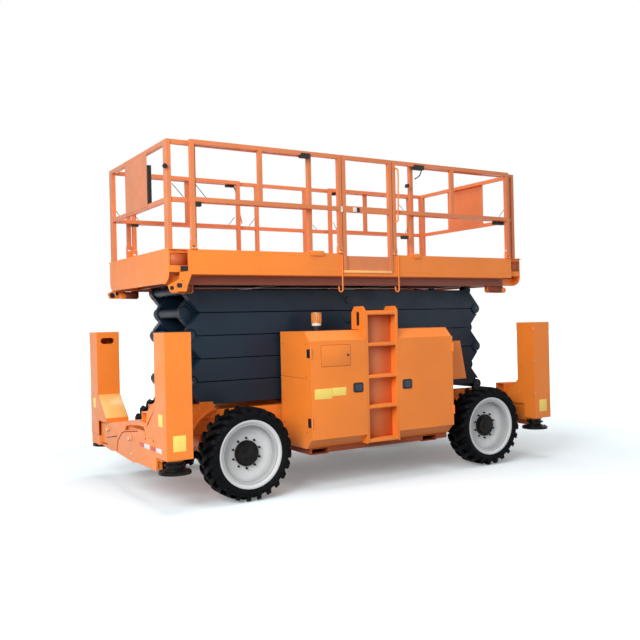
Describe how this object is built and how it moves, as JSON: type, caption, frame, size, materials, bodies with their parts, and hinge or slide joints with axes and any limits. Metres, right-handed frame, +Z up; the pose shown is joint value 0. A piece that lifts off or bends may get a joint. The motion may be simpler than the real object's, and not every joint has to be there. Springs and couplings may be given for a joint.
{
  "type": "scissor lift",
  "caption": "Rough-terrain scissor lift with a folding guardrail platform, roll-out decks, crossed lifting arms, steered wheels and corner jacks.",
  "frame": {"origin": "on the ground under the middle of the machine", "axes": "+X along the machine away from the steered wheels, +Y across it away from the ladder side, +Z up"},
  "size_m": [4.57, 2.278, 3.215],
  "materials": {
    "orange_paint": "semi-gloss powder coat",
    "scissor_paint": "dark blue-grey semi-gloss paint",
    "black_steel": "black satin paint",
    "wheel_paint": "light grey wheel paint",
    "tyre_rubber": "matt black rubber",
    "chrome_rod": "polished cylinder rod",
    "engine_iron": "plain block",
    "amber_lens": "amber lens",
    "black_plastic": "black moulded plastic"
  },
  "bodies": {
    "chassis": {"chassis_frame": "orange_paint", "front_axle": "black_steel", "rear_axle": "black_steel", "outrigger_covers": "orange_paint", "outrigger_beams": "orange_paint", "near_cabinets": "orange_paint", "far_cabinets": "orange_paint", "ladder": "orange_paint", "fork_pocket_frame": "orange_paint", "hydraulic_tank": "orange_paint", "engine_block": "engine_iron", "beacon": "amber_lens"},
    "arm_1_inner": {"scissor_arm_1_inner": "scissor_paint"},
    "arm_1_outer": {"scissor_arm_1_outer": "scissor_paint"},
    "arm_2_inner": {"scissor_arm_2_inner": "scissor_paint"},
    "arm_2_outer": {"scissor_arm_2_outer": "scissor_paint"},
    "arm_3_inner": {"scissor_arm_3_inner": "scissor_paint"},
    "arm_3_outer": {"scissor_arm_3_outer": "scissor_paint"},
    "arm_4_inner": {"scissor_arm_4_inner": "scissor_paint"},
    "arm_4_outer": {"scissor_arm_4_outer": "scissor_paint"},
    "arm_5_inner": {"scissor_arm_5_inner": "scissor_paint"},
    "arm_5_outer": {"scissor_arm_5_outer": "scissor_paint"},
    "platform": {"main_deck": "orange_paint", "near_toe_boards": "orange_paint", "deck_fittings": "orange_paint"},
    "lower_barrel": {"lower_cylinder_barrel": "scissor_paint"},
    "lower_rod": {"lower_cylinder_rod": "chrome_rod"},
    "upper_barrel": {"upper_cylinder_barrel": "scissor_paint"},
    "upper_rod": {"upper_cylinder_rod": "chrome_rod"},
    "near_knuckle": {"near_knuckle": "black_steel"},
    "far_knuckle": {"far_knuckle": "black_steel"},
    "front_near_wheel": {"front_near_rim": "wheel_paint", "front_near_tyre": "tyre_rubber"},
    "front_near_jack": {"front_near_jack_leg": "black_steel"},
    "front_far_wheel": {"front_far_rim": "wheel_paint", "front_far_tyre": "tyre_rubber"},
    "front_far_jack": {"front_far_jack_leg": "black_steel"},
    "rear_near_wheel": {"rear_near_rim": "wheel_paint", "rear_near_tyre": "tyre_rubber"},
    "rear_near_jack": {"rear_near_jack_leg": "black_steel"},
    "rear_far_wheel": {"rear_far_rim": "wheel_paint", "rear_far_tyre": "tyre_rubber"},
    "rear_far_jack": {"rear_far_jack_leg": "black_steel"},
    "near_left_door": {"near_left_door": "orange_paint"},
    "near_right_door": {"near_right_door": "orange_paint"},
    "far_left_door": {"far_left_door": "orange_paint"},
    "far_right_door": {"far_right_door": "orange_paint"},
    "left_extension": {"left_extension_deck": "orange_paint", "left_end_rail": "orange_paint", "control_box": "black_plastic"},
    "right_extension": {"right_extension_deck": "orange_paint", "right_end_rail": "orange_paint"},
    "near_left_guardrail": {"near_left_guardrail": "orange_paint"},
    "near_right_guardrail": {"near_right_guardrail": "orange_paint"},
    "far_guardrail": {"far_guardrail": "orange_paint"},
    "left_extension_near_rail": {"left_extension_near_rail": "orange_paint"},
    "left_extension_far_rail": {"left_extension_far_rail": "orange_paint"},
    "right_extension_near_rail": {"right_extension_near_rail": "orange_paint"},
    "right_extension_far_rail": {"right_extension_far_rail": "orange_paint"},
    "entry_gate": {"entry_gate": "orange_paint"}
  },
  "joints": [
    {"name": "lift", "type": "hinge", "parent": "chassis", "child": "arm_1_inner", "pos_m": [-1.767, 0, 0.83], "axis": [0, -1, 0], "range_deg": [0, 54.5]},
    {"name": "cross_1", "type": "hinge", "parent": "arm_1_inner", "child": "arm_1_outer", "pos_m": [0, 0, 0.9387], "axis": [0, -1, 0], "range_deg": [-109, 0]},
    {"name": "inner_2", "type": "hinge", "parent": "arm_1_inner", "child": "arm_2_inner", "pos_m": [1.767, 0, 1.0474], "axis": [0, -1, 0], "range_deg": [-109, 0]},
    {"name": "cross_2", "type": "hinge", "parent": "arm_2_inner", "child": "arm_2_outer", "pos_m": [0, 0, 1.1561], "axis": [0, -1, 0], "range_deg": [0, 109]},
    {"name": "inner_3", "type": "hinge", "parent": "arm_2_inner", "child": "arm_3_inner", "pos_m": [-1.767, 0, 1.2648], "axis": [0, -1, 0], "range_deg": [0, 109]},
    {"name": "cross_3", "type": "hinge", "parent": "arm_3_inner", "child": "arm_3_outer", "pos_m": [0, 0, 1.3735], "axis": [0, -1, 0], "range_deg": [-109, 0]},
    {"name": "inner_4", "type": "hinge", "parent": "arm_3_inner", "child": "arm_4_inner", "pos_m": [1.767, 0, 1.4822], "axis": [0, -1, 0], "range_deg": [-109, 0]},
    {"name": "cross_4", "type": "hinge", "parent": "arm_4_inner", "child": "arm_4_outer", "pos_m": [0, 0, 1.5909], "axis": [0, -1, 0], "range_deg": [0, 109]},
    {"name": "inner_5", "type": "hinge", "parent": "arm_4_inner", "child": "arm_5_inner", "pos_m": [-1.767, 0, 1.6996], "axis": [0, -1, 0], "range_deg": [0, 109]},
    {"name": "cross_5", "type": "hinge", "parent": "arm_5_inner", "child": "arm_5_outer", "pos_m": [0, 0, 1.8083], "axis": [0, -1, 0], "range_deg": [-109, 0]},
    {"name": "platform_level", "type": "hinge", "parent": "arm_5_outer", "child": "platform", "pos_m": [-1.767, 0, 1.917], "axis": [0, -1, 0], "range_deg": [0, 54.5]},
    {"name": "lower_barrel_swing", "type": "hinge", "parent": "arm_1_inner", "child": "lower_barrel", "pos_m": [-1.233, 0, 0.885], "axis": [0, -1, 0], "range_deg": [0, 10.9]},
    {"name": "lower_rod_slide", "type": "slide", "parent": "lower_barrel", "child": "lower_rod", "axis": [0.994, 0, 0.1091], "range_m": [0, 1.464]},
    {"name": "upper_barrel_swing", "type": "hinge", "parent": "arm_3_inner", "child": "upper_barrel", "pos_m": [-1.233, 0, 1.3198], "axis": [0, -1, 0], "range_deg": [0, 10.9]},
    {"name": "upper_rod_slide", "type": "slide", "parent": "upper_barrel", "child": "upper_rod", "axis": [0.994, 0, 0.1091], "range_m": [0, 1.464]},
    {"name": "steer_near", "type": "hinge", "parent": "chassis", "child": "near_knuckle", "pos_m": [-1.44, -0.76, 0.42], "axis": [0, 0, 1], "range_deg": [-30, 30]},
    {"name": "steer_far", "type": "hinge", "parent": "chassis", "child": "far_knuckle", "pos_m": [-1.44, 0.76, 0.42], "axis": [0, 0, 1], "range_deg": [-30, 30]},
    {"name": "front_near_roll", "type": "hinge", "parent": "near_knuckle", "child": "front_near_wheel", "pos_m": [-1.44, -0.915, 0.42], "axis": [0, 1, 0], "continuous": true},
    {"name": "front_near_jack_down", "type": "slide", "parent": "chassis", "child": "front_near_jack", "axis": [0, 0, -1], "range_m": [0, 0.45]},
    {"name": "front_far_roll", "type": "hinge", "parent": "far_knuckle", "child": "front_far_wheel", "pos_m": [-1.44, 0.915, 0.42], "axis": [0, 1, 0], "continuous": true},
    {"name": "front_far_jack_down", "type": "slide", "parent": "chassis", "child": "front_far_jack", "axis": [0, 0, -1], "range_m": [0, 0.45]},
    {"name": "rear_near_roll", "type": "hinge", "parent": "chassis", "child": "rear_near_wheel", "pos_m": [1.44, -0.915, 0.42], "axis": [0, 1, 0], "continuous": true},
    {"name": "rear_near_jack_down", "type": "slide", "parent": "chassis", "child": "rear_near_jack", "axis": [0, 0, -1], "range_m": [0, 0.45]},
    {"name": "rear_far_roll", "type": "hinge", "parent": "chassis", "child": "rear_far_wheel", "pos_m": [1.44, 0.915, 0.42], "axis": [0, 1, 0], "continuous": true},
    {"name": "rear_far_jack_down", "type": "slide", "parent": "chassis", "child": "rear_far_jack", "axis": [0, 0, -1], "range_m": [0, 0.45]},
    {"name": "near_left_door_swing", "type": "hinge", "parent": "chassis", "child": "near_left_door", "pos_m": [-0.84, -1.104, 0.95], "axis": [0, 0, -1], "range_deg": [0, 100]},
    {"name": "near_right_door_swing", "type": "hinge", "parent": "chassis", "child": "near_right_door", "pos_m": [0.87, -1.104, 0.95], "axis": [0, 0, 1], "range_deg": [0, 100]},
    {"name": "far_left_door_swing", "type": "hinge", "parent": "chassis", "child": "far_left_door", "pos_m": [-0.84, 1.104, 0.95], "axis": [0, 0, 1], "range_deg": [0, 100]},
    {"name": "far_right_door_swing", "type": "hinge", "parent": "chassis", "child": "far_right_door", "pos_m": [0.87, 1.104, 0.95], "axis": [0, 0, -1], "range_deg": [0, 100]},
    {"name": "left_extension_slide", "type": "slide", "parent": "platform", "child": "left_extension", "axis": [-1, 0, 0], "range_m": [0, 1.1]},
    {"name": "right_extension_slide", "type": "slide", "parent": "platform", "child": "right_extension", "axis": [1, 0, 0], "range_m": [0, 1.1]},
    {"name": "near_rails_fold", "type": "hinge", "parent": "platform", "child": "near_left_guardrail", "pos_m": [-1.1, -0.89, 2.3], "axis": [-1, 0, 0], "range_deg": [0, 90]},
    {"name": "near_right_fold", "type": "hinge", "parent": "platform", "child": "near_right_guardrail", "pos_m": [1.1, -0.89, 2.3], "axis": [-1, 0, 0], "range_deg": [0, 90]},
    {"name": "left_extension_near_fold", "type": "hinge", "parent": "left_extension", "child": "left_extension_near_rail", "pos_m": [-1.3, -0.821, 2.25], "axis": [-1, 0, 0], "range_deg": [0, 90]},
    {"name": "right_extension_near_fold", "type": "hinge", "parent": "right_extension", "child": "right_extension_near_rail", "pos_m": [1.3, -0.821, 2.25], "axis": [-1, 0, 0], "range_deg": [0, 90]},
    {"name": "far_rails_fold", "type": "hinge", "parent": "platform", "child": "far_guardrail", "pos_m": [0, 0.89, 2.42], "axis": [1, 0, 0], "range_deg": [0, 90]},
    {"name": "left_extension_far_fold", "type": "hinge", "parent": "left_extension", "child": "left_extension_far_rail", "pos_m": [-1.3, 0.821, 2.37], "axis": [1, 0, 0], "range_deg": [0, 90]},
    {"name": "right_extension_far_fold", "type": "hinge", "parent": "right_extension", "child": "right_extension_far_rail", "pos_m": [1.3, 0.821, 2.37], "axis": [1, 0, 0], "range_deg": [0, 90]},
    {"name": "gate_swing", "type": "hinge", "parent": "near_right_guardrail", "child": "entry_gate", "pos_m": [0.28, -0.86, 2.7], "axis": [0, 0, 1], "range_deg": [-90, 0]}
  ],
  "couplings": [
    {"joint": "cross_1", "follows": "lift", "ratio": -2},
    {"joint": "inner_2", "follows": "lift", "ratio": -2},
    {"joint": "cross_2", "follows": "lift", "ratio": 2},
    {"joint": "inner_3", "follows": "lift", "ratio": 2},
    {"joint": "cross_3", "follows": "lift", "ratio": -2},
    {"joint": "inner_4", "follows": "lift", "ratio": -2},
    {"joint": "cross_4", "follows": "lift", "ratio": 2},
    {"joint": "inner_5", "follows": "lift", "ratio": 2},
    {"joint": "cross_5", "follows": "lift", "ratio": -2},
    {"joint": "platform_level", "follows": "lift", "ratio": 1},
    {"joint": "lower_barrel_swing", "follows": "lift", "ratio": 0.19997},
    {"joint": "lower_rod_slide", "follows": "lift", "m_per_rad": 1.5382},
    {"joint": "upper_barrel_swing", "follows": "lift", "ratio": 0.19997},
    {"joint": "upper_rod_slide", "follows": "lift", "m_per_rad": 1.5382},
    {"joint": "steer_far", "follows": "steer_near", "ratio": 1},
    {"joint": "near_right_fold", "follows": "near_rails_fold", "ratio": 1},
    {"joint": "left_extension_near_fold", "follows": "near_rails_fold", "ratio": 1},
    {"joint": "right_extension_near_fold", "follows": "near_rails_fold", "ratio": 1},
    {"joint": "left_extension_far_fold", "follows": "far_rails_fold", "ratio": 1},
    {"joint": "right_extension_far_fold", "follows": "far_rails_fold", "ratio": 1}
  ]
}
